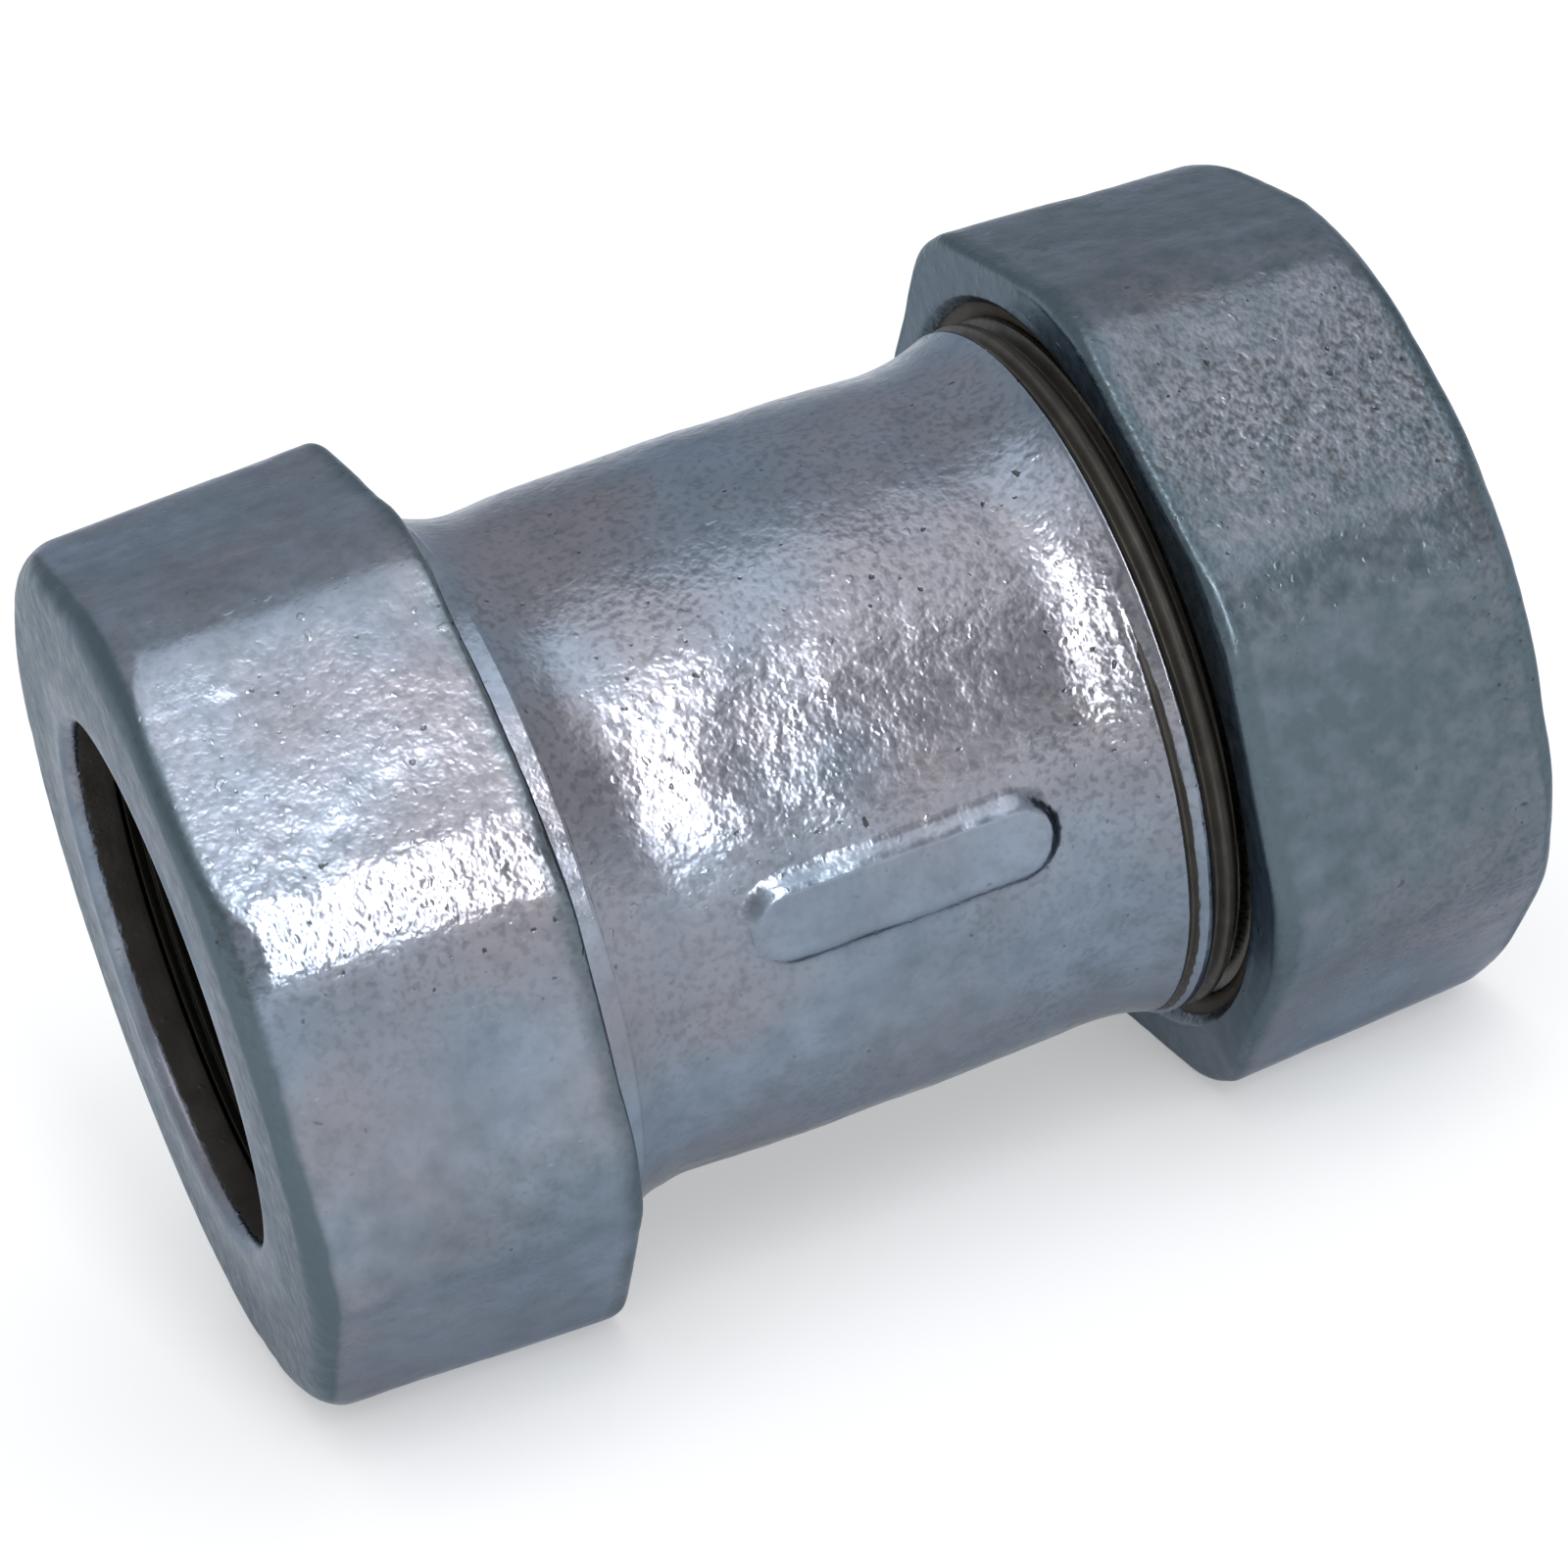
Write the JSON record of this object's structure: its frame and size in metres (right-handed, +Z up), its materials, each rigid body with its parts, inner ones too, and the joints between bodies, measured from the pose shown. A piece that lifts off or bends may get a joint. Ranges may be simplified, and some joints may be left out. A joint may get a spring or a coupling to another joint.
{
  "type": "pipe repair coupling",
  "caption": "Galvanised cast compression coupling: a threaded body with a union nut, gasket, washer and split grip ring at each end, for joining or mending plain-ended steel pipe.",
  "frame": {"origin": "middle of the body on the pipe's axis", "axes": "+X along the pipe's axis, +Z up, and the raised pad on the body faces -Y"},
  "size_m": [0.12, 0.0796, 0.0796],
  "materials": {
    "galvanised_casting": "hot-dip galvanised, orange-peel",
    "rubber": "matt",
    "plated_steel": "zinc plated",
    "phosphated_steel": "phosphated and oiled, nearly black"
  },
  "bodies": {
    "coupling_body": {"body": "galvanised_casting", "gasket_left": "rubber", "gasket_right": "rubber"},
    "right_rings": {"thrust_washer_right": "plated_steel", "grip_ring_right": "phosphated_steel"},
    "right_nut": {"nut_right": "galvanised_casting"},
    "left_rings": {"thrust_washer_left": "plated_steel", "grip_ring_left": "phosphated_steel"},
    "left_nut": {"nut_left": "galvanised_casting"}
  },
  "joints": [
    {"name": "right_nut_travel", "type": "slide", "parent": "coupling_body", "child": "right_rings", "axis": [1, 0, 0], "range_m": [0, 0.01154]},
    {"name": "right_nut_turn", "type": "hinge", "parent": "right_rings", "child": "right_nut", "pos_m": [0.045, 0, 0], "axis": [1, 0, 0], "range_deg": [0, 1800]},
    {"name": "left_nut_travel", "type": "slide", "parent": "coupling_body", "child": "left_rings", "axis": [-1, 0, 0], "range_m": [0, 0.01154]},
    {"name": "left_nut_turn", "type": "hinge", "parent": "left_rings", "child": "left_nut", "pos_m": [-0.045, 0, 0], "axis": [-1, 0, 0], "range_deg": [0, 1800]}
  ],
  "couplings": [
    {"joint": "right_nut_travel", "follows": "right_nut_turn", "m_per_rad": 0.00036749},
    {"joint": "left_nut_travel", "follows": "left_nut_turn", "m_per_rad": 0.00036749}
  ]
}
